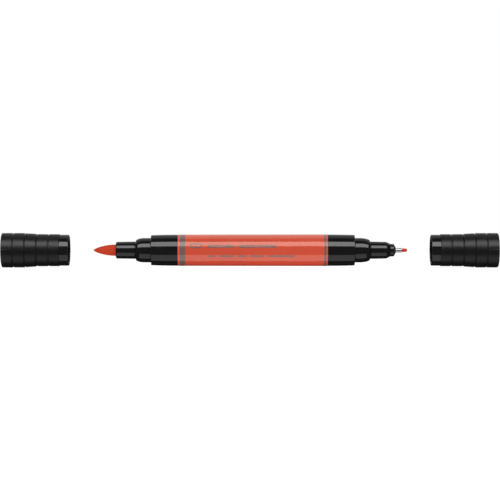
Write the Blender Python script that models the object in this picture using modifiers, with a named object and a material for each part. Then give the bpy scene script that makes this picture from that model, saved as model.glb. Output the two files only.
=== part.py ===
"""Double-ended calligraphy marker, with both caps drawn off and lying in line with it.

Metres, +Z up. The pen's axis runs along X, the brush nib points to -X and the fine nib to +X.
The caps rest on Z = 0, and the origin is on that plane under the middle of the whole row.
Dimensions below are in millimetres. Stations run along the axis: those of a pen end are
counted outwards from the origin, and those of a cap from its closed end towards its mouth.
A radius is measured to the flats of a turned piece, and one flat faces straight down.
"""
import math
from collections import namedtuple

import bpy
from mathutils import Matrix

MM = 0.001
SIDES = 32                # flats around a large turned piece
GRIP_SIDES = 16           # flats around a cap's grip, wide enough to stand on
NIB_SIDES = 24            # flats around the brush nib
POINT_SIDES = 16          # flats around the small pieces of the fine point
SHARP_ANGLE = 35.0        # degrees between faces above which an edge stays sharp
MERGE = 0.00001           # metres

PRESS_GAP = 0.1           # radial gap of a pressed fit, and width of a seam
STOP_GAP = 0.3            # gap left where one piece stops against another

# Barrel and its two ends
BARREL_RADII = (6.41, 6.49)   # at the brush end and at the fine end
BARREL_BORE = 5.5
INSERT_LENGTH = 7.0       # how far a section reaches into the barrel
INSERT_RADIUS = BARREL_BORE - PRESS_GAP
CHAMBER_RADIUS = 4.6      # bore of a section around the reservoir
COLLAR_CROWN = 0.05       # how far the middle of a collar swells
COLLAR_ROUND = 0.25
NECK_RADIUS = 5.02
SEAT_DEPTH = 1.5          # from a collar's shoulder back to its holder seat

PenEnd = namedtuple("PenEnd", "joint shoulder neck_end dome_end holder_end joint_radius shoulder_radius")
BRUSH_END = PenEnd(29.5, 40.5, 43.3, 46.8, 54.9, 6.38, 6.18)
FINE_END = PenEnd(31.75, 42.85, 44.9, 49.2, 55.8, 6.43, 6.28)

# Nib holders
HOLDER_RADIUS = 3.55
HOLDER_BORE = HOLDER_RADIUS + PRESS_GAP
HOLDER_TIP_RADIUS = 3.42
HOLDER_ROUND = 0.4
FLANGE_RADIUS = CHAMBER_RADIUS - PRESS_GAP
FLANGE_THICKNESS = 1.2
DOME_MOUTH_RADIUS = 3.75

# Brush nib
BRUSH_RADIUS = 2.33
BRUSH_TIP = 64.2
BRUSH_FULLNESS = 0.75     # exponent of the nib's outline, lower is blunter
BRUSH_STEM_END = 34.5

# Fine point
CONE_END = 57.35
CONE_RADIUS = 2.68
WICK_RADIUS = 1.3
HOUSING_STEM_RADIUS = 1.5
HOUSING_STEM_END = 50.0
HOUSING_COLLAR_END = 58.9
HOUSING_COLLAR_RADII = (2.6, 2.54)
HOUSING_END = 59.7
HOUSING_END_RADIUS = 1.15
SLEEVE_RADIUS = 0.92
SLEEVE_BORE = 0.78
SLEEVE_START = 52.0
SLEEVE_END = 62.2
CORE_RADIUS = 0.72
CORE_TIP = 64.4
WICK_START = 36.0

# Ink reservoir
RESERVOIR_RADIUS = 4.2
FILM_RADII = (4.3, 4.5)   # inside and outside
FILM_SETBACK = 1.0        # how far the fibre stands out of the film at each end
SOCKET_PLAY = 0.15        # around a nib stem or wick in the fibre

# Caps
CAP_LENGTH = 27.6
CAP_CLOSED_END = 101.7    # station of each cap's closed end from the origin
GRIP_LENGTH = 23.7
GRIP_BORE = 5.9
GRIP_ROUND = 0.5
GRIP_LIP = 0.15
GRIP_GROOVES = (4.8, 9.62, 14.44, 19.26)
GRIP_RADII = ((7.06, 7.06), (7.05, 7.05), (6.95, 6.72), (6.61, 6.58), (6.57, 6.57))
GROOVE_WIDTH = 0.7
GROOVE_FLOOR = 0.24
GROOVE_DEPTH = 0.22
RIB_START = 0.05          # low mould ribs along the last ring, at the front and the back
RIB_END = 4.45
RIB_WIDTH = 0.8
RIB_HEIGHT = 0.1
RIB_ROOT = 0.4            # how deep a rib's root lies in the ring
PLUG_THICKNESS = 1.3
PLUG_SPIGOT_END = 2.5
BODY_START = 1.5
BODY_RADIUS = 5.8
BODY_BORE = 5.25
BAND_START = 23.8
BAND_RADIUS = 6.36
BAND_ROUND = 0.4
LEAD_IN = 0.3
INNER_START = 2.7
INNER_WALL = 0.7
INNER_RADIUS = 4.6
INNER_BORE = 3.9
INNER_FLANGE = 1.2
INNER_MOUTH = 21.1
LIP_BORE = 3.67
LIP_SLOPE = 0.3

AXIS_HEIGHT = GRIP_RADII[0][0]
BORE_SEAM = BODY_BORE - PRESS_GAP


def clear_scene():
    for obj in list(bpy.data.objects):
        bpy.data.objects.remove(obj, do_unlink=True)


def new_collection(name):
    collection = bpy.data.collections.new(name)
    bpy.context.scene.collection.children.link(collection)
    return collection


def principled(name, colour, roughness, metallic=0.0):
    material = bpy.data.materials.new(name)
    material.use_nodes = True
    shader = material.node_tree.nodes["Principled BSDF"]
    shader.inputs["Base Color"].default_value = (*colour, 1.0)
    shader.inputs["Roughness"].default_value = roughness
    shader.inputs["Metallic"].default_value = metallic
    material.diffuse_color = (*colour, 1.0)
    return material


def arc(centre_x, centre_r, half_x, half_r, start, end, steps):
    """Points of an elliptical arc, with its angles in degrees from the axis direction."""
    points = []
    for step in range(steps + 1):
        angle = math.radians(start + (end - start) * step / steps)
        points.append((centre_x + half_x * math.cos(angle), centre_r + half_r * math.sin(angle)))
    return points


def empty(name, station, turned_back, collection):
    """A guide on the pen's axis. Turned back, its stations run towards -X."""
    guide = bpy.data.objects.new(name, None)
    guide.location = (station * MM, 0.0, AXIS_HEIGHT * MM)
    guide.rotation_euler = (0.0, 0.0, math.pi if turned_back else 0.0)
    guide.hide_render = True
    collection.objects.link(guide)
    return guide


def apply_modifiers(obj):
    depsgraph = bpy.context.evaluated_depsgraph_get()
    mesh = bpy.data.meshes.new_from_object(obj.evaluated_get(depsgraph))
    obj.modifiers.clear()
    obj.data = mesh
    mesh.name = obj.name
    mesh.shade_smooth()
    mesh.set_sharp_from_angle(angle=math.radians(SHARP_ANGLE))


def turned(name, outer, bore, look, guide, collection, sides=SIDES):
    """A solid turned about its guide's axis.

    outer and bore are (station, radius) points, both from low to high station. A bore that
    reaches radius 0 is blind, and an outer line that reaches radius 0 closes that end.
    """
    outline = list(bore) + list(reversed(outer))
    to_corner = MM / math.cos(math.pi / sides)
    points = [(radius * to_corner, 0.0, station * MM) for station, radius in outline]
    edges = []
    for index in range(len(outline)):
        following = (index + 1) % len(outline)
        if outline[index][1] > 0.0 or outline[following][1] > 0.0:
            edges.append((index, following))
    mesh = bpy.data.meshes.new(name)
    mesh.from_pydata(points, edges, [])
    mesh.materials.append(look)
    obj = bpy.data.objects.new(name, mesh)
    collection.objects.link(obj)
    obj.parent = guide
    along_axis = Matrix.Rotation(math.pi / 2, 4, "Y")
    flat_down = Matrix.Rotation(math.pi / sides, 4, "Z")
    obj.rotation_euler = (along_axis @ flat_down).to_euler()
    screw = obj.modifiers.new("Turn", "SCREW")
    screw.axis = "Z"
    screw.steps = sides
    screw.render_steps = sides
    screw.use_merge_vertices = True
    screw.merge_threshold = MERGE
    screw.use_smooth_shade = True
    apply_modifiers(obj)
    return obj


def barrel_tube(look, guide, collection):
    low, high = -BRUSH_END.joint, FINE_END.joint
    outer = [(low, BARREL_RADII[0]), (high, BARREL_RADII[1])]
    bore = [(low, BARREL_BORE), (high, BARREL_BORE)]
    turned("barrel_tube", outer, bore, look, guide, collection)


def holder_seat(end):
    return end.shoulder - SEAT_DEPTH


def section(name, end, look, guide, collection):
    """Collar, neck and dome in one piece, with an insert that fills the barrel's end."""
    start = end.joint - INSERT_LENGTH
    face = end.joint + PRESS_GAP
    middle = (face + end.shoulder) / 2
    middle_radius = (end.joint_radius + end.shoulder_radius) / 2 + COLLAR_CROWN
    edge = COLLAR_ROUND
    outer = [(start, INSERT_RADIUS), (face, INSERT_RADIUS), (face, end.joint_radius),
             (middle, middle_radius)]
    outer += arc(end.shoulder - edge, end.shoulder_radius - edge, edge, edge, 90, 0, 2)
    outer.append((end.shoulder, NECK_RADIUS))
    outer += arc(end.neck_end, DOME_MOUTH_RADIUS, end.dome_end - end.neck_end,
                 NECK_RADIUS - DOME_MOUTH_RADIUS, 90, 0, 5)
    seat = holder_seat(end)
    bore = [(start, CHAMBER_RADIUS), (seat, CHAMBER_RADIUS),
            (seat, HOLDER_BORE), (end.dome_end, HOLDER_BORE)]
    turned(name, outer, bore, look, guide, collection)


def holder_flange(end):
    """The inner part of a nib holder's outline: a flange that bears on the section's seat."""
    front = holder_seat(end) - PRESS_GAP
    return [(front - FLANGE_THICKNESS, FLANGE_RADIUS), (front, FLANGE_RADIUS),
            (front, HOLDER_RADIUS), (end.dome_end, HOLDER_RADIUS)]


def holder_start(end):
    return holder_seat(end) - PRESS_GAP - FLANGE_THICKNESS


def brush_nib_holder(look, guide, collection):
    end = BRUSH_END
    rounded = HOLDER_ROUND
    outer = holder_flange(end)
    outer += arc(end.holder_end - rounded, HOLDER_TIP_RADIUS - rounded, rounded, rounded, 90, 0, 3)
    bore_radius = BRUSH_RADIUS + PRESS_GAP
    bore = [(holder_start(end), bore_radius), (end.holder_end, bore_radius)]
    turned("brush_nib_holder", outer, bore, look, guide, collection)


def fine_nib_holder(look, guide, collection):
    end = FINE_END
    outer = holder_flange(end)
    outer += [(end.holder_end, HOLDER_TIP_RADIUS), (CONE_END, CONE_RADIUS)]
    bore_radius = HOUSING_STEM_RADIUS + PRESS_GAP
    bore = [(holder_start(end), bore_radius), (CONE_END, bore_radius)]
    turned("fine_nib_holder", outer, bore, look, guide, collection)


def brush_nib(look, guide, collection):
    """A round stem that swells no further, then an ogive down to a soft point."""
    base = BRUSH_END.holder_end
    outer = [(BRUSH_STEM_END, 0.0), (BRUSH_STEM_END, BRUSH_RADIUS)]
    for along in (0.0, 0.2, 0.4, 0.58, 0.74, 0.86, 0.95, 1.0):
        radius = BRUSH_RADIUS * (1.0 - along ** 2) ** BRUSH_FULLNESS
        outer.append((base + (BRUSH_TIP - base) * along, radius))
    turned("brush_nib", outer, [], look, guide, collection, NIB_SIDES)


def fine_nib_housing(look, guide, collection):
    bore_radius = SLEEVE_RADIUS + PRESS_GAP / 2
    face = CONE_END + PRESS_GAP
    outer = [(HOUSING_STEM_END, HOUSING_STEM_RADIUS), (face, HOUSING_STEM_RADIUS),
             (face, HOUSING_COLLAR_RADII[0]), (HOUSING_COLLAR_END, HOUSING_COLLAR_RADII[1]),
             (HOUSING_END, HOUSING_END_RADIUS)]
    bore = [(HOUSING_STEM_END, bore_radius), (HOUSING_END, bore_radius)]
    turned("fine_nib_housing", outer, bore, look, guide, collection, POINT_SIDES)


def fine_nib_sleeve(look, guide, collection):
    outer = [(SLEEVE_START, SLEEVE_RADIUS), (SLEEVE_END, SLEEVE_RADIUS)]
    bore = [(SLEEVE_START, SLEEVE_BORE), (SLEEVE_END, SLEEVE_BORE)]
    turned("fine_nib_sleeve", outer, bore, look, guide, collection, POINT_SIDES)


def fine_nib_core(look, guide, collection):
    start = HOUSING_STEM_END + PRESS_GAP
    outer = [(start, 0.0), (start, CORE_RADIUS)]
    outer += arc(CORE_TIP - CORE_RADIUS, 0.0, CORE_RADIUS, CORE_RADIUS, 90, 22.5, 3)
    outer.append((CORE_TIP, 0.0))
    turned("fine_nib_core", outer, [], look, guide, collection, POINT_SIDES)


def fine_ink_wick(look, guide, collection):
    end = HOUSING_STEM_END - STOP_GAP
    outer = [(WICK_START, 0.0), (WICK_START, WICK_RADIUS), (end, WICK_RADIUS), (end, 0.0)]
    turned("fine_ink_wick", outer, [], look, guide, collection, POINT_SIDES)


def reservoir_ends():
    low = -(holder_start(BRUSH_END) - STOP_GAP)
    high = holder_start(FINE_END) - STOP_GAP
    return low, high


def ink_reservoir(look, guide, collection):
    """A fibre rod with a blind socket in each end, for the brush stem and for the wick."""
    low, high = reservoir_ends()
    brush_floor = -(BRUSH_STEM_END - STOP_GAP)
    wick_floor = WICK_START - STOP_GAP
    brush_socket = BRUSH_RADIUS + SOCKET_PLAY
    wick_socket = WICK_RADIUS + SOCKET_PLAY
    outer = [(low, RESERVOIR_RADIUS), (high, RESERVOIR_RADIUS)]
    bore = [(low, brush_socket), (brush_floor, brush_socket), (brush_floor, 0.0),
            (wick_floor, 0.0), (wick_floor, wick_socket), (high, wick_socket)]
    turned("ink_reservoir", outer, bore, look, guide, collection)


def reservoir_film(look, guide, collection):
    low, high = reservoir_ends()
    low += FILM_SETBACK
    high -= FILM_SETBACK
    inside, outside = FILM_RADII
    turned("reservoir_film", [(low, outside), (high, outside)], [(low, inside), (high, inside)],
           look, guide, collection)


def grip_outline():
    """Five rings from the closed end to the mouth, with a shallow groove between each two."""
    points = arc(GRIP_ROUND, GRIP_RADII[0][0] - GRIP_ROUND, GRIP_ROUND, GRIP_ROUND, 180, 90, 3)
    for groove, ring, following in zip(GRIP_GROOVES, GRIP_RADII, GRIP_RADII[1:]):
        before, after = ring[1], following[0]
        floor = min(before, after) - GROOVE_DEPTH
        points += [(groove - GROOVE_WIDTH / 2, before), (groove - GROOVE_FLOOR / 2, floor),
                   (groove + GROOVE_FLOOR / 2, floor), (groove + GROOVE_WIDTH / 2, after)]
    last = GRIP_RADII[-1][1]
    points += [(GRIP_LENGTH - GRIP_LIP, last), (GRIP_LENGTH, last - GRIP_LIP)]
    return points


def rib_block(name, side, guide, collection):
    """A box along the last ring that becomes one mould rib. side is -1 for -Y and 1 for +Y."""
    bpy.ops.mesh.primitive_cube_add(size=1.0)
    block = bpy.context.object
    block.name = name
    for other in block.users_collection:
        other.objects.unlink(block)
    collection.objects.link(block)
    depth = RIB_ROOT + RIB_HEIGHT
    size = ((RIB_END - RIB_START) * MM, depth * MM, RIB_WIDTH * MM, 1.0)
    block.data.transform(Matrix.Diagonal(size))
    block.parent = guide
    outwards = GRIP_RADII[0][0] + RIB_HEIGHT - depth / 2
    block.location = ((RIB_START + RIB_END) / 2 * MM, side * outwards * MM, 0.0)
    block.hide_render = True
    block.display_type = "WIRE"
    return block


def cap_grip(name, look, guide, collection, blocks):
    bore = [(0.0, GRIP_BORE), (GRIP_LENGTH, GRIP_BORE)]
    grip = turned(name, grip_outline(), bore, look, guide, collection, GRIP_SIDES)
    for side, label in ((-1, "front"), (1, "back")):
        block = rib_block(f"{name}_{label}_rib", side, guide, blocks)
        union = grip.modifiers.new(f"{label} rib", "BOOLEAN")
        union.operation = "UNION"
        union.solver = "EXACT"
        union.object = block


def cap_body(name, look, guide, collection):
    """The smooth tube under the grip, which shows as a band at the mouth."""
    outer = [(BODY_START, BODY_RADIUS), (BAND_START, BODY_RADIUS), (BAND_START, BAND_RADIUS)]
    outer += arc(CAP_LENGTH - BAND_ROUND, BAND_RADIUS - BAND_ROUND, BAND_ROUND, BAND_ROUND, 90, 0, 3)
    bore = [(BODY_START, BODY_BORE), (CAP_LENGTH - LEAD_IN, BODY_BORE),
            (CAP_LENGTH, BODY_BORE + LEAD_IN)]
    turned(name, outer, bore, look, guide, collection)


def cap_inner(name, look, guide, collection):
    """A thimble with a sealing lip, held in the body by the flange at its mouth."""
    flange_start = INNER_MOUTH - INNER_FLANGE
    outer = [(INNER_START, 0.0), (INNER_START, INNER_RADIUS), (flange_start, INNER_RADIUS),
             (flange_start, BORE_SEAM), (INNER_MOUTH, BORE_SEAM)]
    floor = INNER_START + INNER_WALL
    bore = [(floor, 0.0), (floor, INNER_BORE), (flange_start, INNER_BORE),
            (flange_start + LIP_SLOPE, LIP_BORE), (INNER_MOUTH - LIP_SLOPE, LIP_BORE),
            (INNER_MOUTH, INNER_BORE)]
    turned(name, outer, bore, look, guide, collection)


def cap_end_plug(name, look, guide, collection):
    disc_radius = GRIP_BORE - PRESS_GAP
    outer = [(0.0, 0.0), (0.0, disc_radius), (PLUG_THICKNESS, disc_radius),
             (PLUG_THICKNESS, BORE_SEAM), (PLUG_SPIGOT_END, BORE_SEAM), (PLUG_SPIGOT_END, 0.0)]
    turned(name, outer, [], look, guide, collection)


def make_materials():
    return {
        "barrel": principled("barrel_plastic", (0.60, 0.072, 0.034), 0.22),
        "section": principled("section_plastic", (0.010, 0.010, 0.011), 0.14),
        "grip": principled("grip_plastic", (0.012, 0.012, 0.013), 0.42),
        "body": principled("cap_body_plastic", (0.010, 0.010, 0.011), 0.14),
        "inner": principled("inner_cap_plastic", (0.62, 0.62, 0.60), 0.45),
        "plug": principled("end_plug_plastic", (0.012, 0.012, 0.013), 0.40),
        "brush": principled("brush_fibre", (0.50, 0.030, 0.012), 0.75),
        "housing": principled("nib_housing_plastic", (0.012, 0.012, 0.013), 0.30),
        "steel": principled("sleeve_steel", (0.60, 0.60, 0.62), 0.22, 1.0),
        "point": principled("point_fibre", (0.55, 0.030, 0.012), 0.60),
        "wick": principled("wick_fibre", (0.55, 0.060, 0.030), 0.85),
        "reservoir": principled("reservoir_fibre", (0.52, 0.055, 0.028), 0.90),
        "film": principled("reservoir_film_plastic", (0.80, 0.80, 0.80), 0.20),
    }


def make_cap(name, station, turned_back, looks, collection, blocks):
    guide = empty(f"{name}_axis", station, turned_back, collection)
    cap_grip(f"{name}_grip", looks["grip"], guide, collection, blocks)
    cap_body(f"{name}_body", looks["body"], guide, collection)
    cap_inner(f"{name}_inner", looks["inner"], guide, collection)
    cap_end_plug(f"{name}_end_plug", looks["plug"], guide, collection)


def main():
    clear_scene()
    marker = new_collection("calligraphy_marker")
    blocks = new_collection("rib_blocks")
    looks = make_materials()

    pen = empty("pen_axis", 0.0, False, marker)
    barrel_tube(looks["barrel"], pen, marker)
    ink_reservoir(looks["reservoir"], pen, marker)
    reservoir_film(looks["film"], pen, marker)

    brush_end = empty("brush_end_axis", 0.0, True, marker)
    section("brush_section", BRUSH_END, looks["section"], brush_end, marker)
    brush_nib_holder(looks["section"], brush_end, marker)
    brush_nib(looks["brush"], brush_end, marker)

    fine_end = empty("fine_end_axis", 0.0, False, marker)
    section("fine_section", FINE_END, looks["section"], fine_end, marker)
    fine_nib_holder(looks["section"], fine_end, marker)
    fine_nib_housing(looks["housing"], fine_end, marker)
    fine_nib_sleeve(looks["steel"], fine_end, marker)
    fine_nib_core(looks["point"], fine_end, marker)
    fine_ink_wick(looks["wick"], fine_end, marker)

    make_cap("brush_cap", -CAP_CLOSED_END, False, looks, marker, blocks)
    make_cap("fine_cap", CAP_CLOSED_END, True, looks, marker, blocks)


main()
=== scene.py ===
"""Looks for the double-ended calligraphy marker: fine turned meshes, prints and procedural materials.

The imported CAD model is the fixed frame. Lengths below are in millimetres. Stations of a pen
end are counted outwards from the middle of the row, and those of a cap from its closed end.
"""
import math

import bpy
import numpy as np
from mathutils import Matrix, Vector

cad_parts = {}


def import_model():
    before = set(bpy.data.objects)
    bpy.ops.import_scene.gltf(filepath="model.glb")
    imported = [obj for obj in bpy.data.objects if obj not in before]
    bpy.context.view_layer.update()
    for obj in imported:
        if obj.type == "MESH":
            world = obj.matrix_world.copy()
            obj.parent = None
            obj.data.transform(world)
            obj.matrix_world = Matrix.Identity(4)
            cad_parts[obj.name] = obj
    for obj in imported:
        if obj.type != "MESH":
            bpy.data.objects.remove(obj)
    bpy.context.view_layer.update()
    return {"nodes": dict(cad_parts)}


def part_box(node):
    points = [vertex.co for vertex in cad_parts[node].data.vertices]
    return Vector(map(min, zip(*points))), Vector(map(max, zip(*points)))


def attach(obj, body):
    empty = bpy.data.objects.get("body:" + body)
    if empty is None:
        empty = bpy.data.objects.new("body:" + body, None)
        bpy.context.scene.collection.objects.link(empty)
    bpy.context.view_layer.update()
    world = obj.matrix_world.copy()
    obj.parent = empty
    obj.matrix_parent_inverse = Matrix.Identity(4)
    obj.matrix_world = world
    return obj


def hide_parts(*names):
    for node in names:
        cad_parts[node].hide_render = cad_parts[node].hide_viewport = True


MM = 0.001

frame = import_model()

# Turned surfaces
SIDES = 192
ARC_STEP = 12.0            # degrees between points of a rounded corner
SHARP_ANGLE = 32.0
SUPPORT = 0.35             # a rounded corner's flanking points, as a share of its radius
SUPPORT_LIMIT = 0.04       # and at most this share of the shorter side beside the corner
TANGENT_LIMIT = 0.45       # a rounding takes at most this share of a side
SEAM = 0.1                 # gap between two pieces that meet

# Barrel and its two ends. Most sizes are the CAD's. The root grooves of the holders are added here.
BARREL_LOW, BARREL_HIGH = -29.5, 31.75
BARREL_RADII, BARREL_BORE = (6.41, 6.49), 5.5
INSERT_LENGTH, INSERT_RADIUS, CHAMBER_RADIUS = 7.0, 5.4, 4.6
NECK_RADIUS, DOME_MOUTH_RADIUS = 5.02, 3.75
SEAT_DEPTH = 1.5
HOLDER_RADIUS, HOLDER_BORE, HOLDER_TIP_RADIUS = 3.55, 3.65, 3.42
FLANGE_RADIUS, FLANGE_THICKNESS = 4.5, 1.2
CROWN_START, CROWN_SETBACK, CROWN_STEPS = 0.4, 0.5, 8      # swept stretch of a collar, from its two ends
DOME_STEPS = 18
ROOT_GROOVE_WIDTH, ROOT_GROOVE_DEPTH = 0.4, 0.12
ROOT_GROOVE_START, ROOT_GROOVE_FLOOR = -0.05, 0.18         # from the dome's end
BRUSH_END = {"joint": 29.5, "shoulder": 40.5, "neck_end": 43.3, "dome_end": 46.8,
             "holder_end": 54.9, "joint_radius": 6.38, "shoulder_radius": 6.18, "crown": 0.05}
FINE_END = {"joint": 31.75, "shoulder": 42.85, "neck_end": 44.9, "dome_end": 49.2,
            "holder_end": 55.8, "joint_radius": 6.43, "shoulder_radius": 6.28, "crown": 0.04}

# Nibs
BRUSH_RADIUS, BRUSH_TIP, BRUSH_STEM_END = 2.33, 64.2, 34.5
BRUSH_FULLNESS = 0.75      # exponent of the nib's outline, lower is blunter
BRUSH_STEPS = 44
FLUTES, FLUTE_DEPTH = 11, 0.022                            # around the nib, depth as a share of its radius
FLUTE_WANDER, FLUTE_FADE = 1.3, 1.0                        # radians, and millimetres from the stem
CONE_END, CONE_RADIUS = 57.35, 2.68
HOUSING_STEM_RADIUS, HOUSING_STEM_END = 1.5, 50.0
HOUSING_COLLAR_END, HOUSING_COLLAR_RADII = 58.9, (2.6, 2.54)
HOUSING_END, HOUSING_END_RADIUS = 59.7, 1.15
SLEEVE_RADIUS, SLEEVE_BORE, SLEEVE_START, SLEEVE_END = 0.92, 0.78, 52.0, 62.2
CORE_RADIUS, CORE_TIP, CORE_TIP_STEPS = 0.72, 64.4, 12

# Caps. Their grooves and mould ribs are finer than the CAD's.
CAP_CLOSED_END, CAP_LENGTH = 101.7, 27.6
GRIP_LENGTH, GRIP_BORE = 23.7, 5.9
GRIP_GROOVES = (4.8, 9.62, 14.44, 19.26)
GRIP_RADII = ((7.06, 7.06), (7.05, 7.05), (6.95, 6.72), (6.61, 6.58), (6.57, 6.57))
GROOVE_WIDTH, GROOVE_FLOOR, GROOVE_DEPTH = 0.7, 0.12, 0.24
RIB_END, RIB_WIDTH, RIB_HEIGHT, RIB_FLANK, RIB_RAMP = 4.42, 0.8, 0.07, 0.3, 0.12
RIB_ROOT = 0.55            # how far below the outermost ring's surface a rib reaches
RIB_STEPS = 7              # angles across half a rib
BODY_START, BODY_RADIUS, BODY_BORE = 1.5, 5.8, 5.25
BAND_START, BAND_RADIUS, BAND_ROUND, LEAD_IN = 23.8, 6.36, 0.4, 0.3
INNER_START, INNER_MOUTH, INNER_RADIUS, INNER_BORE, LIP_BORE = 2.7, 21.1, 4.6, 3.9, 3.67
INNER_FLANGE, INNER_WALL, LIP_SLOPE = 1.2, 0.7, 0.3
PLUG_RADIUS, PLUG_THICKNESS, PLUG_SPIGOT_END, PLUG_SPIGOT = 5.8, 1.3, 2.5, 5.15
GATE_RADII, GATE_DEPTH = (0.55, 0.7), 0.07                 # the sunk gate mark of a plug's face
FACE_GROOVE_RADII, FACE_GROOVE_DEPTH = (3.9, 4.0, 4.2, 4.3), 0.06

# Prints on the barrel
INK_SUNK, INK_PROUD = 0.01, 0.012
BRUSH_RED_RING = (-29.42, -28.75)
BRUSH_GREY_BAND = (-28.75, -26.4)
FINE_GREY_RING = (30.25, 31.15)
MARK_ROWS = (                # start, height around the barrel, thickness, bar lengths, gap
    (-17.2, 1.6, 1.3, (10.8, 15.6), 1.5),
    (-17.2, -2.5, 0.8, (3.4, 6.0, 4.0, 5.6, 11.2), 1.3),
)
MARK_RING_CENTRE = (-22.0, 1.9)                            # place along and height around the barrel
MARK_RING_OUTER, MARK_RING_INNER = (2.7, 1.2), (1.9, 0.5)  # half length and half height

# Camera
VIEW_WIDTH = 205.0         # width that the picture spans at the pen's axis
CAMERA_DISTANCE = 861.0
CAMERA_RISE = 0.08         # above the pen's axis
SENSOR = 36.0

low_corner, high_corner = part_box("barrel_tube")
AXIS = (low_corner.z + high_corner.z) / 2


# ---------------------------------------------------------------- outlines and turned meshes

def rounded(corners, closed):
    """Points of an outline whose corners are (station, radius, rounding).

    Returns (station, radius, edge) points, where edge is 1 on a rounded corner and 0 elsewhere.
    """
    count = len(corners)
    points = []
    for index, (x, r, rounding) in enumerate(corners):
        inside = closed or 0 < index < count - 1
        if rounding <= 0.0 or not inside:
            points.append((x, r, 0.0))
            continue
        here = np.array((x, r))
        before = np.array(corners[index - 1][:2]) - here
        after = np.array(corners[(index + 1) % count][:2]) - here
        reach_before, reach_after = np.linalg.norm(before), np.linalg.norm(after)
        before, after = before / reach_before, after / reach_after
        half = math.acos(max(-1.0, min(1.0, float(before @ after)))) / 2
        shorter = min(reach_before, reach_after)
        tangent = min(rounding / math.tan(half), TANGENT_LIMIT * shorter)
        radius = tangent * math.tan(half)
        middle = before + after
        centre = here + middle / np.linalg.norm(middle) * (radius / math.sin(half))
        first, last = here + before * tangent, here + after * tangent
        start = math.atan2(*(first - centre)[::-1])
        sweep = math.atan2(*(last - centre)[::-1]) - start
        sweep = (sweep + math.pi) % (2 * math.pi) - math.pi
        steps = max(3, math.ceil(abs(math.degrees(sweep)) / ARC_STEP))
        support = min(SUPPORT * radius, SUPPORT_LIMIT * shorter)
        points.append((*(first + before * support), 0.0))
        for step in range(steps + 1):
            angle = start + sweep * step / steps
            points.append((centre[0] + radius * math.cos(angle),
                           centre[1] + radius * math.sin(angle), 1.0))
        points.append((*(last + after * support), 0.0))
    return points


def swept(function, start, end, steps):
    """Smooth stretch of an outline: function gives the radius at a station."""
    return [(x, function(x), 0.0) for x in np.linspace(start, end, steps + 1)]


def flat_points(points):
    """Corners with no rounding, from (station, radius) points."""
    return [(x, r, 0.0) for x, r in points]


PIECES = []                # every visible piece, with its slot


def turned(name, outline, place, look, body, node, slot, closed=True, angles=None, shape=None):
    """A closed turned mesh that stands for a CAD node.

    outline runs out along the outer side and back along the bore. place is the X of station 0
    and the direction of growing stations. shape gives a new radius from (station, radius, angle).
    """
    points = rounded(outline, closed)
    stations = np.array([p[0] for p in points])
    radii = np.array([p[1] for p in points])
    edges = [p[2] for p in points]
    if angles is None:
        angles = np.arange(SIDES) * 2 * math.pi / SIDES
    origin, direction = place
    verts, wear, rings = [], [], []
    for index, station in enumerate(stations):
        x = (origin + direction * station) * MM
        if radii[index] < 1e-6:
            rings.append([len(verts)])
            verts.append((x, 0.0, AXIS))
            wear.append(edges[index])
            continue
        ring = []
        for angle in angles:
            radius = radii[index] if shape is None else shape(station, radii[index], angle)
            ring.append(len(verts))
            verts.append((x, -math.cos(angle) * radius * MM, AXIS + math.sin(angle) * radius * MM))
            wear.append(edges[index])
        rings.append(ring)
    faces = []
    pairs = list(zip(rings, rings[1:]))
    if closed:
        pairs.append((rings[-1], rings[0]))
    sides = len(angles)
    for near, far in pairs:
        for side in range(sides):
            after = (side + 1) % sides
            if len(near) == 1 and len(far) == 1:
                break
            if len(near) == 1:
                face = (near[0], far[after], far[side])
            elif len(far) == 1:
                face = (near[side], near[after], far[0])
            else:
                face = (near[side], near[after], far[after], far[side])
            faces.append(face if direction < 0 else face[::-1])
    mesh = bpy.data.meshes.new(name)
    mesh.from_pydata(verts, [], faces)
    mesh.attributes.new("edge", "FLOAT", "POINT").data.foreach_set("value", wear)
    mesh.materials.append(look)
    mesh.shade_smooth()
    mesh.set_sharp_from_angle(angle=math.radians(SHARP_ANGLE))
    obj = bpy.data.objects.new(name, mesh)
    bpy.context.scene.collection.objects.link(obj)
    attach(obj, body)
    if node:
        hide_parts(node)
    PIECES.append((obj, slot))


ALONG = (0.0, 1.0)         # stations that are X itself
BRUSH_SIDE = (0.0, -1.0)
FINE_SIDE = (0.0, 1.0)
BRUSH_CAP = (-CAP_CLOSED_END, 1.0)
FINE_CAP = (CAP_CLOSED_END, -1.0)


# ---------------------------------------------------------------- materials

IOR = 1.5


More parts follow.
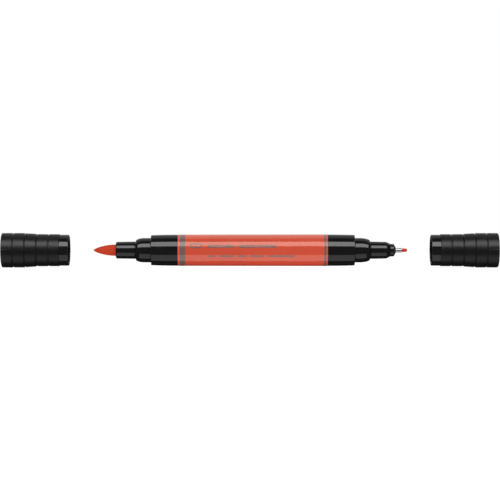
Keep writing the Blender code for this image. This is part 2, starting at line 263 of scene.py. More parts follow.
class Look:
    """A Principled material being built, with short calls for the nodes that the looks share."""

    def __init__(self, name, colour, roughness, metallic=0.0):
        self.material = bpy.data.materials.new(name)
        self.material.use_nodes = True
        self.tree = self.material.node_tree
        self.shader = self.tree.nodes["Principled BSDF"]
        self.shader.inputs["Base Color"].default_value = (*colour, 1.0)
        self.shader.inputs["Roughness"].default_value = roughness
        self.shader.inputs["Metallic"].default_value = metallic
        self.shader.inputs["IOR"].default_value = IOR
        self.place = self.node("ShaderNodeTexCoord").outputs["Object"]

    def node(self, kind, **settings):
        node = self.tree.nodes.new(kind)
        for key, value in settings.items():
            setattr(node, key, value)
        return node

    def link(self, source, target):
        self.tree.links.new(source, target)

    def noise(self, per_mm, stretch=(1.0, 1.0, 1.0), detail=2.0, rough=0.5, shift=0.0):
        """Noise with per_mm features in a millimetre; stretch makes it longer along an axis."""
        mapping = self.node("ShaderNodeMapping")
        mapping.inputs["Scale"].default_value = [per_mm / MM / factor for factor in stretch]
        mapping.inputs["Location"].default_value = (shift, shift * 1.7, shift * 0.6)
        self.link(self.place, mapping.inputs["Vector"])
        noise = self.node("ShaderNodeTexNoise")
        noise.inputs["Scale"].default_value = 1.0
        noise.inputs["Detail"].default_value = detail
        noise.inputs["Roughness"].default_value = rough
        self.link(mapping.outputs["Vector"], noise.inputs["Vector"])
        return noise.outputs["Fac"]

    def cells(self, per_mm, stretch):
        """Distance to the middle of the nearest cell, with about per_mm cells in a millimetre."""
        mapping = self.node("ShaderNodeMapping")
        mapping.inputs["Scale"].default_value = [per_mm / MM / factor for factor in stretch]
        self.link(self.place, mapping.inputs["Vector"])
        cells = self.node("ShaderNodeTexVoronoi", feature="F1")
        cells.inputs["Scale"].default_value = 1.0
        self.link(mapping.outputs["Vector"], cells.inputs["Vector"])
        return cells.outputs["Distance"]

    def edge(self):
        """1 on a rounded corner of a turned piece and 0 elsewhere."""
        return self.node("ShaderNodeAttribute", attribute_name="edge").outputs["Fac"]

    def remap(self, value, low, high, to_low, to_high):
        """Takes low to to_low and high to to_high, and clamps."""
        remap = self.node("ShaderNodeMapRange")
        self.link(value, remap.inputs["Value"])
        for key, number in zip(("From Min", "From Max", "To Min", "To Max"),
                               (low, high, to_low, to_high)):
            remap.inputs[key].default_value = number
        return remap.outputs["Result"]

    def math(self, operation, first, second):
        node = self.node("ShaderNodeMath", operation=operation)
        for socket, value in zip(node.inputs, (first, second)):
            if isinstance(value, (int, float)):
                socket.default_value = value
            else:
                self.link(value, socket)
        return node.outputs["Value"]

    def blend(self, factor, first, second):
        """Mixes two colours, each a triple or a socket."""
        mix = self.node("ShaderNodeMix", data_type="RGBA")
        self.link(factor, mix.inputs["Factor"])
        for key, value in (("A", first), ("B", second)):
            socket = [s for s in mix.inputs if s.name == key and s.type == "RGBA"][0]
            if isinstance(value, tuple):
                socket.default_value = (*value, 1.0)
            else:
                self.link(value, socket)
        return [s for s in mix.outputs if s.type == "RGBA"][0]

    def colour(self, socket):
        self.link(socket, self.shader.inputs["Base Color"])

    def roughness(self, socket):
        self.link(socket, self.shader.inputs["Roughness"])

    def bumps(self, *layers):
        """Bump from (height socket, depth in millimetres) layers, the coarsest first."""
        normal = None
        for height, depth in layers:
            bump = self.node("ShaderNodeBump")
            bump.inputs["Strength"].default_value = 1.0
            bump.inputs["Distance"].default_value = depth * MM
            self.link(height, bump.inputs["Height"])
            if normal is not None:
                self.link(normal, bump.inputs["Normal"])
            normal = bump.outputs["Normal"]
        self.link(normal, self.shader.inputs["Normal"])

    def scratches(self, per_mm, stretch, shift, width=0.035):
        """Thin lines, 1 on a scratch: the middle contour of a stretched noise."""
        noise = self.noise(per_mm, stretch, detail=1.0, shift=shift)
        away = self.math("ABSOLUTE", self.math("SUBTRACT", noise, 0.5), 0.0)
        line = self.remap(away, 0.0, width, 1.0, 0.0)
        sparse = self.remap(self.noise(per_mm * 0.6, shift=shift + 9.0), 0.52, 0.62, 0.0, 1.0)
        return self.math("MULTIPLY", line, sparse)


def gloss_plastic(name, colour, worn, roughness):
    """Glossy moulded plastic: faint flow marks, fine scratches, smudges and polished edges."""
    look = Look(name, colour, roughness)
    flow = look.noise(0.12, (6.0, 1.0, 1.0), detail=3.0)
    tint = look.remap(flow, 0.3, 0.7, 0.0, 1.0)
    lighter = tuple(min(1.0, c * 1.10 + 0.0005) for c in colour)
    darker = tuple(c * 0.92 for c in colour)
    base = look.blend(tint, darker, lighter)
    scuffs = look.scratches(0.5, (7.0, 1.0, 1.0), 3.0)
    rings = look.scratches(0.7, (0.5, 5.0, 5.0), 21.0, 0.02)
    marks = look.math("MAXIMUM", scuffs, rings)
    rub = look.remap(look.noise(0.9, detail=3.0, shift=5.0), 0.45, 0.7, 0.0, 0.5)
    wear = look.math("MAXIMUM", look.math("MULTIPLY", look.edge(), rub),
                     look.math("MULTIPLY", marks, 0.16))
    look.colour(look.blend(wear, base, worn))
    smudge = look.remap(look.noise(0.10, detail=4.0, rough=0.6, shift=2.0), 0.40, 0.72, 0.0, 0.03)
    grain = look.remap(look.noise(2.5, detail=2.0), 0.3, 0.7, -0.008, 0.008)
    base_roughness = look.math("ADD", look.math("ADD", smudge, grain), roughness)
    look.roughness(look.math("ADD", base_roughness, look.math("MULTIPLY", marks, 0.10)))
    look.bumps((look.noise(0.22, (3.0, 1.0, 1.0), detail=1.0), 0.0010),
               (look.noise(6.0, detail=2.0), 0.0003),
               (look.math("MULTIPLY", marks, -1.0), 0.0012))
    return look.material


def textured_plastic(name, colour, worn, roughness, grain_mm=0.11, depth=0.006):
    """Moulded plastic with a fine eroded texture that is rubbed smoother on its edges."""
    look = Look(name, colour, roughness)
    look.shader.inputs["Specular IOR Level"].default_value = 0.3
    per_mm = 1.0 / grain_mm
    pits = look.noise(per_mm, detail=3.0, rough=0.62)
    patches = look.noise(0.25, detail=4.0, rough=0.6, shift=4.0)
    tint = look.math("ADD", look.remap(pits, 0.3, 0.7, 0.0, 0.6),
                     look.remap(patches, 0.35, 0.7, 0.0, 0.4))
    lighter = tuple(c * 1.25 + 0.0008 for c in colour)
    darker = tuple(c * 0.85 for c in colour)
    base = look.blend(tint, darker, lighter)
    rub = look.remap(look.noise(1.2, detail=3.0, shift=7.0), 0.38, 0.66, 0.1, 1.0)
    polish = look.math("MULTIPLY", look.edge(), rub)
    look.colour(look.blend(look.math("MULTIPLY", polish, 0.45), base, worn))
    vary = look.remap(patches, 0.35, 0.7, -0.03, 0.05)
    speck = look.remap(pits, 0.3, 0.7, -0.04, 0.04)
    base_roughness = look.math("ADD", look.math("ADD", vary, speck), roughness)
    look.roughness(look.math("SUBTRACT", base_roughness, look.math("MULTIPLY", polish, 0.10)))
    look.bumps((look.noise(0.5, detail=2.0, shift=1.0), 0.002), (pits, depth))
    return look.material


def ink(name, colour, under):
    """Printed ink: a thin film, duller than the barrel, with a faint mesh texture and small pinholes."""
    look = Look(name, colour, 0.24)
    holes = look.remap(look.noise(3.2, detail=2.0, shift=3.0), 0.68, 0.74, 0.0, 0.6)
    density = look.remap(look.noise(0.4, (4.0, 1.0, 1.0), detail=3.0), 0.3, 0.7, 0.0, 0.12)
    look.colour(look.blend(look.math("ADD", holes, density), colour, under))
    look.roughness(look.remap(look.noise(1.5, detail=3.0), 0.3, 0.7, 0.10, 0.20))
    look.bumps((look.noise(4.0, detail=2.0), 0.0008),)
    return look.material


def brush_felt(name):
    """Bonded fibre cut to a point: long fibres along the pen, in darker and lighter streaks."""
    look = Look(name, (0.48, 0.046, 0.018), 0.7)
    look.shader.inputs["Specular IOR Level"].default_value = 0.15
    streaks = look.noise(2.6, (9.0, 1.0, 1.0), detail=4.0, rough=0.65)
    hairs = look.noise(9.0, (14.0, 1.0, 1.0), detail=2.0, shift=6.0)
    pores = look.cells(5.0, (2.2, 1.0, 1.0))
    tone = look.remap(streaks, 0.32, 0.68, 0.0, 1.0)
    base = look.blend(tone, (0.43, 0.022, 0.004), (0.59, 0.050, 0.012))
    look.colour(look.blend(look.remap(hairs, 0.56, 0.70, 0.0, 0.45), base, (0.68, 0.12, 0.05)))
    look.roughness(look.remap(streaks, 0.3, 0.7, 0.6, 0.8))
    look.shader.inputs["Subsurface Weight"].default_value = 0.15
    look.shader.inputs["Subsurface Radius"].default_value = (0.0008, 0.0002, 0.0001)
    look.shader.inputs["Subsurface Scale"].default_value = 1.0
    look.bumps((streaks, 0.045), (hairs, 0.02), (pores, 0.012))
    return look.material


def bonded_fibre(name, colour, dark):
    """Fibre of the reservoir and wick: coarse strands along the pen, soaked unevenly."""
    look = Look(name, colour, 0.8)
    strands = look.noise(3.0, (12.0, 1.0, 1.0), detail=4.0, rough=0.7)
    soak = look.noise(0.15, detail=3.0, shift=8.0)
    tone = look.math("MULTIPLY", look.remap(strands, 0.3, 0.7, 0.2, 1.0),
                     look.remap(soak, 0.3, 0.7, 0.7, 1.0))
    look.colour(look.blend(tone, dark, colour))
    look.roughness(look.remap(strands, 0.3, 0.7, 0.7, 0.95))
    look.bumps((strands, 0.08),)
    return look.material


def point_fibre(name):
    """Extruded fibre of the writing point, stained by ink."""
    look = Look(name, (0.50, 0.045, 0.015), 0.45)
    look.shader.inputs["Specular IOR Level"].default_value = 0.2
    strands = look.noise(8.0, (8.0, 1.0, 1.0), detail=3.0)
    look.colour(look.blend(look.remap(strands, 0.3, 0.7, 0.0, 1.0),
                           (0.48, 0.018, 0.003), (0.60, 0.036, 0.006)))
    look.roughness(look.remap(strands, 0.3, 0.7, 0.38, 0.55))
    look.bumps((strands, 0.012),)
    return look.material


def drawn_steel(name):
    """Thin steel tube with drawing lines along it and a slightly varied polish."""
    look = Look(name, (0.72, 0.72, 0.73), 0.2, metallic=1.0)
    lines = look.noise(14.0, (40.0, 1.0, 1.0), detail=3.0)
    haze = look.noise(0.8, detail=3.0, shift=2.0)
    look.colour(look.blend(look.remap(haze, 0.35, 0.65, 0.0, 1.0),
                           (0.34, 0.34, 0.345), (0.42, 0.42, 0.42)))
    look.roughness(look.math("ADD", look.remap(lines, 0.3, 0.7, 0.22, 0.32),
                             look.remap(haze, 0.35, 0.65, 0.0, 0.04)))
    look.bumps((lines, 0.0015),)
    return look.material


def waxy_plastic(name):
    """Natural polyethylene of the inner caps: cloudy, waxy, faintly stained by ink."""
    look = Look(name, (0.58, 0.57, 0.54), 0.38)
    cloud = look.noise(0.3, detail=4.0, rough=0.6)
    stain = look.remap(look.noise(0.35, detail=3.0, shift=12.0), 0.58, 0.72, 0.0, 0.25)
    base = look.blend(look.remap(cloud, 0.3, 0.7, 0.0, 1.0), (0.50, 0.49, 0.46), (0.64, 0.63, 0.60))
    look.colour(look.blend(stain, base, (0.62, 0.20, 0.14)))
    look.roughness(look.remap(cloud, 0.3, 0.7, 0.30, 0.46))
    look.shader.inputs["Subsurface Weight"].default_value = 0.3
    look.shader.inputs["Subsurface Radius"].default_value = (0.001, 0.001, 0.0008)
    look.shader.inputs["Subsurface Scale"].default_value = 1.0
    look.bumps((look.noise(1.5, detail=2.0), 0.004),)
    return look.material


def film(name):
    """Film around the reservoir, finely wrinkled along the pen."""
    look = Look(name, (0.78, 0.78, 0.78), 0.15)
    wrinkles = look.noise(0.4, (5.0, 1.0, 1.0), detail=3.0)
    look.colour(look.blend(look.remap(wrinkles, 0.3, 0.7, 0.0, 1.0),
                           (0.70, 0.66, 0.65), (0.84, 0.82, 0.82)))
    look.roughness(look.remap(wrinkles, 0.3, 0.7, 0.10, 0.25))
    look.bumps((wrinkles, 0.02),)
    return look.material


RED = (0.585, 0.078, 0.042)
BLACK = (0.0075, 0.0075, 0.0082)
WORN_BLACK = (0.030, 0.030, 0.031)
GREY_INK = (0.142, 0.102, 0.094)

barrel_look = gloss_plastic("barrel_red", RED, (0.66, 0.16, 0.11), 0.03)
barrel_shader = barrel_look.node_tree.nodes["Principled BSDF"]
barrel_shader.inputs["Specular IOR Level"].default_value = 0.56
barrel_shader.inputs["Specular Tint"].default_value = (1.0, 0.88, 0.76, 1.0)
section_look = gloss_plastic("section_black", BLACK, WORN_BLACK, 0.03)
band_look = gloss_plastic("cap_band_black", BLACK, WORN_BLACK, 0.03)
grip_look = textured_plastic("grip_black", (0.006, 0.006, 0.0064), (0.028, 0.028, 0.029), 0.34)
plug_look = textured_plastic("plug_black", (0.009, 0.009, 0.0095), (0.035, 0.035, 0.036), 0.34,
                             grain_mm=0.18, depth=0.004)
housing_look = gloss_plastic("housing_black", BLACK, WORN_BLACK, 0.12)
grey_ink = ink("grey_ink", GREY_INK, (0.30, 0.09, 0.06))
mark_ink = ink("mark_ink", (0.20, 0.105, 0.092), (0.42, 0.09, 0.06))
red_ink = ink("red_ink", (0.70, 0.075, 0.035), RED)
brush_look = brush_felt("brush_felt")
point_look = point_fibre("point_fibre")
steel_look = drawn_steel("drawn_steel")
inner_look = waxy_plastic("inner_cap_waxy")


# ---------------------------------------------------------------- pieces of the pen

def barrel_radius(x):
    """The barrel widens a little from the brush end to the fine end."""
    low, high = BARREL_RADII
    return low + (high - low) * (x - BARREL_LOW) / (BARREL_HIGH - BARREL_LOW)


def barrel():
    outline = [(BARREL_LOW, BARREL_RADII[0], 0.07), (BARREL_HIGH, BARREL_RADII[1], 0.07),
               (BARREL_HIGH, BARREL_BORE, 0.05), (BARREL_LOW, BARREL_BORE, 0.05)]
    turned("barrel_shell", outline, ALONG, barrel_look, "barrel", "barrel_tube", "barrel_plastic")


def collar_radius(end):
    """Radius of a collar by station: a straight taper with a slight crown."""
    face = end["joint"] + SEAM

    def radius(station):
        share = (station - face) / (end["shoulder"] - face)
        taper = end["joint_radius"] + (end["shoulder_radius"] - end["joint_radius"]) * share
        return taper + 4 * end["crown"] * share * (1 - share)
    return radius


def dome_radius(end):
    """Radius of a dome by station: a quarter of an ellipse that ends just outside the holder's hole."""
    reach = end["dome_end"] - end["neck_end"]

    def radius(station):
        share = (station - end["neck_end"]) / reach
        return DOME_MOUTH_RADIUS + (NECK_RADIUS - DOME_MOUTH_RADIUS) * math.sqrt(1 - share ** 2)
    return radius


def section(name, end, side, node):
    """One moulding: the insert in the barrel, the collar, the neck and the dome."""
    collar, dome = collar_radius(end), dome_radius(end)
    start, face = end["joint"] - INSERT_LENGTH, end["joint"] + SEAM
    seat = end["shoulder"] - SEAT_DEPTH
    outline = [(start, INSERT_RADIUS, 0.2), (face, INSERT_RADIUS, 0.0), (face, collar(face), 0.08)]
    outline += swept(collar, face + CROWN_START, end["shoulder"] - CROWN_SETBACK, CROWN_STEPS)
    outline += [(end["shoulder"], end["shoulder_radius"], 0.25),
                (end["shoulder"], NECK_RADIUS, 0.3)]
    reach = end["dome_end"] - end["neck_end"]
    for step in range(DOME_STEPS + 1):
        station = end["neck_end"] + reach * math.sin(math.pi / 2 * step / DOME_STEPS)
        outline.append((station, dome(station), 0.0))
    outline += [(end["dome_end"], HOLDER_BORE, 0.03),
                (seat, HOLDER_BORE, 0.0), (seat, CHAMBER_RADIUS, 0.0), (start, CHAMBER_RADIUS, 0.0)]
    turned(name, outline, side, section_look, "barrel", node, "section_plastic")


def holder_back(end):
    """The flange of a holder, inside its section, and the start of its tube."""
    front = end["shoulder"] - SEAT_DEPTH - SEAM
    return [(front - FLANGE_THICKNESS, FLANGE_RADIUS, 0.1), (front, FLANGE_RADIUS, 0.1),
            (front, HOLDER_RADIUS, 0.0)]


def root_groove(end):
    """A fine groove around a holder, where it comes out of its dome."""
    mouth = end["dome_end"]
    return [(mouth + ROOT_GROOVE_START, HOLDER_RADIUS, 0.0),
            (mouth + ROOT_GROOVE_FLOOR, HOLDER_RADIUS - ROOT_GROOVE_DEPTH, 0.02),
            (mouth + ROOT_GROOVE_WIDTH, HOLDER_RADIUS, 0.04)]


def brush_holder():
    end = BRUSH_END["holder_end"]
    bore = BRUSH_RADIUS + SEAM
    outline = holder_back(BRUSH_END) + root_groove(BRUSH_END)
    outline += [(end, HOLDER_TIP_RADIUS, 0.5), (end, bore, 0.12), (outline[0][0], bore, 0.0)]
    turned("brush_holder", outline, BRUSH_SIDE, section_look, "barrel", "brush_nib_holder",
           "section_plastic")


def fine_holder():
    bore = HOUSING_STEM_RADIUS + SEAM
    outline = holder_back(FINE_END) + root_groove(FINE_END)
    outline += [(FINE_END["holder_end"], HOLDER_TIP_RADIUS, 0.9), (CONE_END, CONE_RADIUS, 0.12),
                (CONE_END, bore, 0.05), (outline[0][0], bore, 0.0)]
    turned("fine_holder", outline, FINE_SIDE, section_look, "barrel", "fine_nib_holder",
           "section_plastic")


def brush_tip():
    base, tip = BRUSH_END["holder_end"], BRUSH_TIP

    def radius(station):
        share = max(0.0, (station - base) / (tip - base))
        return BRUSH_RADIUS * (1.0 - share ** 2) ** BRUSH_FULLNESS

    def fibres(station, ring_radius, angle):
        """Shallow flutes of the fibre bundle, which fade into the stem."""
        share = min(1.0, max(0.0, (station - base) / FLUTE_FADE))
        flute = 0.5 + 0.5 * math.sin(FLUTES * angle + FLUTE_WANDER * math.sin(3 * angle + 0.4))
        return ring_radius * (1.0 - FLUTE_DEPTH * share * flute)

    outline = flat_points([(BRUSH_STEM_END, 0.0), (BRUSH_STEM_END, BRUSH_RADIUS)])
    shares = np.sin(np.linspace(0.0, math.pi / 2, BRUSH_STEPS))[:-1]
    outline += [(base + (tip - base) * share, radius(base + (tip - base) * share), 0.0)
                for share in shares]
    outline.append((tip, 0.0, 0.0))
    turned("brush_tip", outline, BRUSH_SIDE, brush_look, "barrel", "brush_nib", "brush_fibre",
           closed=False, shape=fibres)


def fine_housing():
    face = CONE_END + SEAM
    bore = SLEEVE_RADIUS + SEAM / 2
    outline = [(HOUSING_STEM_END, HOUSING_STEM_RADIUS, 0.1), (face, HOUSING_STEM_RADIUS, 0.0),
               (face, HOUSING_COLLAR_RADII[0], 0.12),
               (HOUSING_COLLAR_END, HOUSING_COLLAR_RADII[1], 0.3),
               (HOUSING_END, HOUSING_END_RADIUS, 0.1), (HOUSING_END, bore, 0.0),
               (HOUSING_STEM_END, bore, 0.0)]
    turned("fine_housing", outline, FINE_SIDE, housing_look, "barrel", "fine_nib_housing",
           "nib_housing_plastic")


def fine_sleeve():
    outline = [(SLEEVE_START, SLEEVE_RADIUS, 0.02), (SLEEVE_END, SLEEVE_RADIUS, 0.05),
               (SLEEVE_END, SLEEVE_BORE, 0.02), (SLEEVE_START, SLEEVE_BORE, 0.02)]
    turned("fine_sleeve", outline, FINE_SIDE, steel_look, "barrel", "fine_nib_sleeve", "sleeve_steel")


def fine_core():
    start = HOUSING_STEM_END + SEAM
    shoulder = CORE_TIP - CORE_RADIUS
    outline = flat_points([(start, 0.0), (start, CORE_RADIUS)])
    for step in range(CORE_TIP_STEPS + 1):
        angle = math.pi / 2 * step / CORE_TIP_STEPS
        outline.append((shoulder + CORE_RADIUS * math.sin(angle), CORE_RADIUS * math.cos(angle), 0.0))
    outline[-1] = (CORE_TIP, 0.0, 0.0)
    turned("fine_core", outline, FINE_SIDE, point_look, "barrel", "fine_nib_core", "point_fibre",
           closed=False)


# ---------------------------------------------------------------- prints on the barrel

def ink_ring(name, low, high, look):
    """A closed film of ink all round the barrel."""
    at_low, at_high = barrel_radius(low), barrel_radius(high)
    outline = [(low, at_low + INK_PROUD, 0.008), (high, at_high + INK_PROUD, 0.008),
               (high, at_high - INK_SUNK, 0.0), (low, at_low - INK_SUNK, 0.0)]
    turned(name, outline, ALONG, look, "barrel", None, "barrel_plastic")


def ink_patch(name, outline, hole=()):
    """A closed film of grey ink over an outline of (x, height around the barrel) points.

    hole is a second outline with as many points, for a ring.
    """
    count = len(outline)
    verts = []
    for lift in (INK_PROUD, -INK_SUNK):
        for x, height in list(outline) + list(hole):
            radius = barrel_radius(x) + lift
            angle = height / radius
            verts.append((x * MM, -math.cos(angle) * radius * MM, AXIS + math.sin(angle) * radius * MM))
    below = len(verts) // 2
    faces = []
    if hole:
        for index in range(count):
            after = (index + 1) % count
            inner, inner_after = count + index, count + after
            faces.append((index, after, inner_after, inner))
            faces.append((below + inner, below + inner_after, below + after, below + index))
            faces.append((below + index, below + after, after, index))
            faces.append((inner, inner_after, below + inner_after, below + inner))
    else:
        half = count // 2
        for index in range(half - 1):
            other = count - 1 - index
            faces.append((index, index + 1, other - 1, other))
            faces.append((below + other, below + other - 1, below + index + 1, below + index))
        for index in range(count):
            after = (index + 1) % count
            faces.append((below + index, below + after, after, index))
    mesh = bpy.data.meshes.new(name)
    mesh.from_pydata(verts, [], faces)
    mesh.materials.append(mark_ink)
    obj = bpy.data.objects.new(name, mesh)
    bpy.context.scene.collection.objects.link(obj)
    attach(obj, "barrel")
    PIECES.append((obj, "barrel_plastic"))


def bar_outline(low, high, height, thickness, steps=6):
    """A bar with round ends, counter-clockwise from its lower left."""
    half = thickness / 2
    points = []
    for centre, start in ((high - half, -90), (low + half, 90)):
        for step in range(steps + 1):
            angle = math.radians(start + 180 * step / steps)
            points.append((centre + half * math.cos(angle), height + half * math.sin(angle)))
    return points[-1:] + points[:-1]


def oval_outline(centre, half_length, half_height, steps=48):
    x, height = centre
    angles = [2 * math.pi * step / steps for step in range(steps)]
    return [(x + half_length * math.cos(a), height + half_height * math.sin(a)) for a in angles]


def prints():
    """Bands near the barrel's ends, and plain bars and an oval ring where the real one has its print."""
    ink_ring("brush_red_ring", *BRUSH_RED_RING, red_ink)
    ink_ring("brush_grey_band", *BRUSH_GREY_BAND, grey_ink)
    ink_ring("fine_grey_ring", *FINE_GREY_RING, grey_ink)
    for row, (start, height, thickness, lengths, gap) in enumerate(MARK_ROWS):
        left = start
        for number, length in enumerate(lengths):
            ink_patch(f"mark_{row}_{number}", bar_outline(left, left + length, height, thickness))
            left += length + gap
    ink_patch("mark_ring", oval_outline(MARK_RING_CENTRE, *MARK_RING_OUTER),
              oval_outline(MARK_RING_CENTRE, *MARK_RING_INNER))


# ---------------------------------------------------------------- caps

def rib_angles():
    """Angles around a grip, with extra ones across its front and back ribs."""
    turn = 2 * math.pi
    reach = RIB_WIDTH / 2 / GRIP_RADII[0][0]
    angles = {round(turn * side / SIDES, 6) for side in range(SIDES)}
    for middle in (0.0, math.pi):
        angles = {angle for angle in angles
                  if abs((angle - middle + math.pi) % turn - math.pi) > 1.2 * reach}
        angles |= {round((middle + reach * step / RIB_STEPS) % turn, 6)
                   for step in range(-RIB_STEPS - 1, RIB_STEPS + 2)}
    return sorted(angles)


def smooth(value):
    """Smooth step from 0 to 1."""
    value = min(1.0, max(0.0, value))
    return value * value * (3 - 2 * value)


def ribbed(station, radius, angle):
    """Raises the low mould ribs along the front and the back of a grip's outermost ring."""
    outer = GRIP_RADII[0][0]
    if station > RIB_END or radius < outer - RIB_ROOT:
        return radius
    across = abs((angle + math.pi / 2) % math.pi - math.pi / 2) * outer
    flank = smooth((RIB_WIDTH / 2 - across) / RIB_FLANK)
    end = smooth((RIB_END - station) / RIB_RAMP)
    return radius + RIB_HEIGHT * flank * end


def grip(name, place, body, node):
    """The ribbed sleeve of a cap: five rings with narrow grooves between them."""
    outline = [(0.0, GRIP_BORE, 0.05), (0.0, GRIP_RADII[0][0], 0.5)]
    for groove, ring, following in zip(GRIP_GROOVES, GRIP_RADII, GRIP_RADII[1:]):
        before, after = ring[1], following[0]
        bottom = min(before, after) - GROOVE_DEPTH
        outline += [(groove - GROOVE_WIDTH / 2, before, 0.12), (groove - GROOVE_FLOOR / 2, bottom, 0.08),
                    (groove + GROOVE_FLOOR / 2, bottom, 0.08), (groove + GROOVE_WIDTH / 2, after, 0.12)]
    last = GRIP_RADII[-1][1]
    outline += [(GRIP_LENGTH, last, 0.15), (GRIP_LENGTH, GRIP_BORE, 0.0)]
    turned(name, outline, place, grip_look, body, node, "grip_plastic",
           angles=rib_angles(), shape=ribbed)


def cap_tube(name, place, body, node):
    """The glossy body of a cap, which shows as a band at its mouth."""
    outline = [(BODY_START, BODY_RADIUS, 0.1), (BAND_START, BODY_RADIUS, 0.0),
               (BAND_START, BAND_RADIUS, 0.05), (CAP_LENGTH, BAND_RADIUS, BAND_ROUND),
               (CAP_LENGTH, BODY_BORE + LEAD_IN, 0.12), (CAP_LENGTH - LEAD_IN, BODY_BORE, 0.1),
               (BODY_START, BODY_BORE, 0.0)]
    turned(name, outline, place, band_look, body, node, "cap_body_plastic")


def inner_cap(name, place, body, node):
    """The thimble inside a cap, with a flange and a sealing lip at its mouth."""
    flange, floor_end = INNER_MOUTH - INNER_FLANGE, INNER_START + INNER_WALL
    outer = [(INNER_START, 0.0, 0.0), (INNER_START, INNER_RADIUS, 0.2), (flange, INNER_RADIUS, 0.0),
             (flange, PLUG_SPIGOT, 0.1), (INNER_MOUTH, PLUG_SPIGOT, 0.12)]
    bore = [(INNER_MOUTH, INNER_BORE, 0.1), (INNER_MOUTH - LIP_SLOPE, LIP_BORE, 0.1),
            (flange + LIP_SLOPE, LIP_BORE, 0.1), (flange, INNER_BORE, 0.1),
            (floor_end, INNER_BORE, 0.3), (floor_end, 0.0, 0.0)]
    turned(name, outer + bore, place, inner_look, body, node, "inner_cap_plastic", closed=False)


def end_plug(name, place, body, node):
    """A disc with a shallow moulded ring and a gate mark in its middle."""
    gate, gate_edge = GATE_RADII
    groove_inner, floor_inner, floor_outer, groove_outer = FACE_GROOVE_RADII
    face = [(GATE_DEPTH, 0.0, 0.0), (GATE_DEPTH, gate, 0.05), (0.0, gate_edge, 0.05),
            (0.0, groove_inner, 0.05), (FACE_GROOVE_DEPTH, floor_inner, 0.03),
            (FACE_GROOVE_DEPTH, floor_outer, 0.03), (0.0, groove_outer, 0.05), (0.0, PLUG_RADIUS, 0.12)]
    back = [(PLUG_THICKNESS, PLUG_RADIUS, 0.05), (PLUG_THICKNESS, PLUG_SPIGOT, 0.0),
            (PLUG_SPIGOT_END, PLUG_SPIGOT, 0.1), (PLUG_SPIGOT_END, 0.0, 0.0)]
    turned(name, face + back, place, plug_look, body, node, "end_plug_plastic", closed=False)


def cap(body, place):
    grip(f"{body}_grip_shell", place, body, f"{body}_grip")
    cap_tube(f"{body}_tube", place, body, f"{body}_body")
    inner_cap(f"{body}_thimble", place, body, f"{body}_inner")
    end_plug(f"{body}_end_disc", place, body, f"{body}_end_plug")


def carried_over():
    """Procedural materials for the CAD pieces sealed inside the pen."""
    looks = {
        "ink_reservoir": bonded_fibre("reservoir_fibre", (0.52, 0.055, 0.028), (0.30, 0.02, 0.01)),
        "fine_ink_wick": bonded_fibre("wick_fibre", (0.55, 0.060, 0.030), (0.34, 0.02, 0.01)),
        "reservoir_film": film("reservoir_film"),
    }
    for node, look in looks.items():
        frame["nodes"][node].data.materials[0] = look


# ---------------------------------------------------------------- floor, light and camera

FLOOR_HALF, FLOOR_LEVEL = 6.0, -0.00004    # metres
FLOOR_GLOW = 0.52
WORLD_DIFFUSE = 0.86       # even studio light on the surfaces
WORLD_GLOSSY = 0.015       # dark studio in the reflections between the cards
BRIGHT = ("barrel_plastic", "sleeve_steel")
CAPS = ("grip_plastic", "cap_body_plastic", "inner_cap_plastic", "end_plug_plastic")
FRONTS = ("section_plastic", "nib_housing_plastic", "brush_fibre", "point_fibre")
CARDS = (       # name, slots it lights, start and end in degrees up from the camera's side,
                # half length in metres, radiance
    ("softbox", BRIGHT + CAPS, 29.0, 64.0, 0.62, 4.4),
    ("short_softbox", FRONTS, 29.0, 64.0, 0.50, 4.4),
    ("low_card", CAPS, -86.0, -36.0, 0.62, 0.78),
    ("short_low_card", FRONTS, -86.0, -36.0, 0.30, 0.78),
    ("low_fill", BRIGHT, -86.0, -35.0, 0.62, 1.6),
    ("top_card", CAPS + FRONTS, 98.0, 150.0, 0.65, 0.42),
    ("top_fill", BRIGHT, 93.0, 150.0, 0.65, 0.92),
    ("back_strip", BRIGHT + CAPS + FRONTS, 153.0, 163.0, 0.65, 1.6),
)
CARD_ARC = 4.0                             # degrees between a card's edges
CARD_DISTANCE, CARD_STEP = 0.5, 0.01       # each card is a little further away than the last
END_CARD = (0.9, 0.35, 0.5)                # distance from the middle, half size, radiance
KEY_LIGHT = ((-0.25, -0.55, 0.85), (1.4, 0.7), 2.6)        # place, size and power
TOP_GLOW = ((0.0, 0.0, 0.7), (1.4, 0.3), 0.95)             # the same, for the red barrel


def plain_mesh(name, verts, faces, look):
    """A mesh of the studio, not of the part."""
    mesh = bpy.data.meshes.new(name)
    mesh.from_pydata(verts, [], faces)
    mesh.materials.append(look)
    obj = bpy.data.objects.new(name, mesh)
    bpy.context.scene.collection.objects.link(obj)
    return obj


def floor():
    """A wide white plane just under the part, which glows so that only contact shadows show."""
    look = Look("floor_white", (0.6, 0.6, 0.6), 0.9)
    look.shader.inputs["Emission Color"].default_value = (1.0, 1.0, 1.0, 1.0)
    look.shader.inputs["Emission Strength"].default_value = FLOOR_GLOW
    look.shader.inputs["Specular IOR Level"].default_value = 0.0
    corners = ((-1, -1), (1, -1), (1, 1), (-1, 1))
    verts = [(FLOOR_HALF * x, FLOOR_HALF * y, FLOOR_LEVEL) for x, y in corners]
    plane = plain_mesh("floor", verts, [(0, 1, 2, 3)], look.material)
    plane.visible_glossy = False


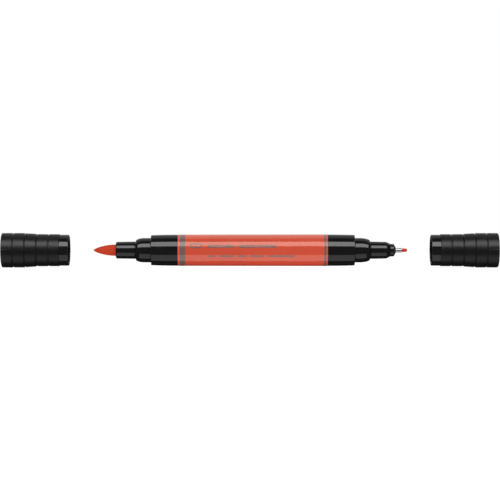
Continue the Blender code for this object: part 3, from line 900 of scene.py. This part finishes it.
def emission(name, strength):
    """Light that lets rays pass, so that one card doesn't hide another behind it."""
    material = bpy.data.materials.new(name)
    material.use_nodes = True
    tree = material.node_tree
    tree.nodes.clear()
    light = tree.nodes.new("ShaderNodeEmission")
    light.inputs["Strength"].default_value = strength
    both = tree.nodes.new("ShaderNodeAddShader")
    clear = tree.nodes.new("ShaderNodeBsdfTransparent")
    output = tree.nodes.new("ShaderNodeOutputMaterial")
    tree.links.new(light.outputs["Emission"], both.inputs[0])
    tree.links.new(clear.outputs["BSDF"], both.inputs[1])
    tree.links.new(both.outputs["Shader"], output.inputs["Surface"])
    return material


def lights_only(source, slots):
    """The source lights only the pieces with one of the slots."""
    lit = bpy.data.collections.new(f"{source.name}_lights")
    for piece, slot in PIECES:
        if slot in slots:
            lit.objects.link(piece)
    source.light_linking.receiver_collection = lit


def reflected_only(strip, slots):
    """A card is seen only in reflections, and only by the pieces with one of its slots."""
    strip.visible_camera = False
    strip.visible_diffuse = False
    strip.visible_shadow = False
    strip.visible_transmission = False
    lights_only(strip, slots)


def top_glow():
    """Soft light from above for the red barrel alone, because the cards give reflections only."""
    lights_only(soft_light("top_glow", *TOP_GLOW), ("barrel_plastic",))


def card(name, slots, start, end, half_length, radiance, away):
    """A strip of a wide cylinder about the pen's axis."""
    steps = max(2, round(abs(end - start) / CARD_ARC))
    verts = []
    for step in range(steps + 1):
        angle = math.radians(start + (end - start) * step / steps)
        y, z = -math.cos(angle) * away, AXIS + math.sin(angle) * away
        verts += [(-half_length, y, z), (half_length, y, z)]
    faces = [(2 * step, 2 * step + 1, 2 * step + 3, 2 * step + 2) for step in range(steps)]
    reflected_only(plain_mesh(name, verts, faces, emission(name, radiance)), slots)


def end_cards():
    """A dim panel past each end of the row, for the caps' closed ends."""
    away, half, radiance = END_CARD
    for name, x in (("left_end_card", -away), ("right_end_card", away)):
        verts = [(x, -half, 0.0), (x, half, 0.0), (x, half, half), (x, -half, half)]
        reflected_only(plain_mesh(name, verts, [(0, 1, 2, 3)], emission(name, radiance)), CAPS)


def world():
    """White to the camera, even for diffuse light, and dark in reflections."""
    studio = bpy.data.worlds.new("studio")
    bpy.context.scene.world = studio
    studio.use_nodes = True
    tree = studio.node_tree
    background = tree.nodes["Background"]
    background.inputs["Color"].default_value = (1.0, 1.0, 1.0, 1.0)
    path = tree.nodes.new("ShaderNodeLightPath")
    glossy = tree.nodes.new("ShaderNodeMapRange")
    glossy.inputs["To Min"].default_value = WORLD_DIFFUSE
    glossy.inputs["To Max"].default_value = WORLD_GLOSSY
    tree.links.new(path.outputs["Is Glossy Ray"], glossy.inputs["Value"])
    seen = tree.nodes.new("ShaderNodeMath")
    seen.operation = "MAXIMUM"
    tree.links.new(glossy.outputs["Result"], seen.inputs[0])
    tree.links.new(path.outputs["Is Camera Ray"], seen.inputs[1])
    tree.links.new(seen.outputs["Value"], background.inputs["Strength"])


def soft_light(name, location, size, power):
    """An area light that faces the middle of the pen and isn't seen in reflections."""
    data = bpy.data.lights.new(name, "AREA")
    data.shape = "RECTANGLE"
    data.size, data.size_y = size
    data.energy = power
    lamp = bpy.data.objects.new(name, data)
    lamp.location = location
    bpy.context.scene.collection.objects.link(lamp)
    direction = lamp.location.copy()
    direction.z -= AXIS
    lamp.rotation_euler = direction.to_track_quat("Z", "Y").to_euler()
    lamp.visible_glossy = False
    lamp.visible_camera = False
    return lamp


def camera():
    """A long lens, level with the pen, that sees VIEW_WIDTH at the pen's axis."""
    data = bpy.data.cameras.new("camera")
    data.sensor_width = SENSOR
    data.lens = SENSOR * CAMERA_DISTANCE / VIEW_WIDTH
    data.clip_start, data.clip_end = 0.01, 50.0
    data.dof.use_dof = False
    eye = bpy.data.objects.new("camera", data)
    eye.location = (0.0, -CAMERA_DISTANCE * MM, AXIS + CAMERA_RISE * MM)
    eye.rotation_euler = (math.pi / 2, 0.0, 0.0)
    bpy.context.scene.collection.objects.link(eye)
    bpy.context.scene.camera = eye


def studio():
    bpy.context.scene.view_settings.view_transform = "Standard"
    floor()
    world()
    for number, settings in enumerate(CARDS):
        card(*settings, CARD_DISTANCE + number * CARD_STEP)
    end_cards()
    soft_light("key", *KEY_LIGHT)
    top_glow()
    camera()


barrel()
section("brush_front", BRUSH_END, BRUSH_SIDE, "brush_section")
section("fine_front", FINE_END, FINE_SIDE, "fine_section")
brush_holder()
fine_holder()
brush_tip()
fine_housing()
fine_sleeve()
fine_core()
prints()
cap("brush_cap", BRUSH_CAP)
cap("fine_cap", FINE_CAP)
carried_over()
studio()
